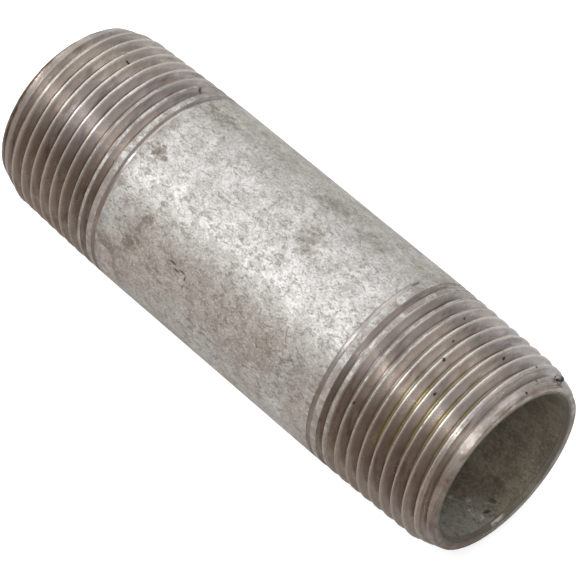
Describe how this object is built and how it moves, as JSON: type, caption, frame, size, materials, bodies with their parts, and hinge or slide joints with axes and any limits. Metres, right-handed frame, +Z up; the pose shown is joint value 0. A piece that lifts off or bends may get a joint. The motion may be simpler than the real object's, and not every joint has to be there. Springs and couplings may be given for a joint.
{
  "type": "pipe nipple",
  "caption": "Short length of galvanised steel pipe with a tapered male pipe thread on each end, used to join female-threaded pipe fittings.",
  "frame": {"origin": "on the pipe's axis, halfway between the end faces", "axes": "+X along the pipe towards the end called right, +Z up as the pipe lies on its side"},
  "size_m": [0.0762, 0.0268, 0.0268],
  "materials": {
    "cut_steel": "bare steel as the threading die leaves it, with traces of cutting oil",
    "zinc_outside": "dull mottled hot-dip zinc",
    "zinc_bore": "dark weathered zinc"
  },
  "bodies": {
    "root": {"steel_pipe": "cut_steel", "outer_zinc_coat": "zinc_outside", "bore_zinc_coat": "zinc_bore"}
  },
  "joints": []
}
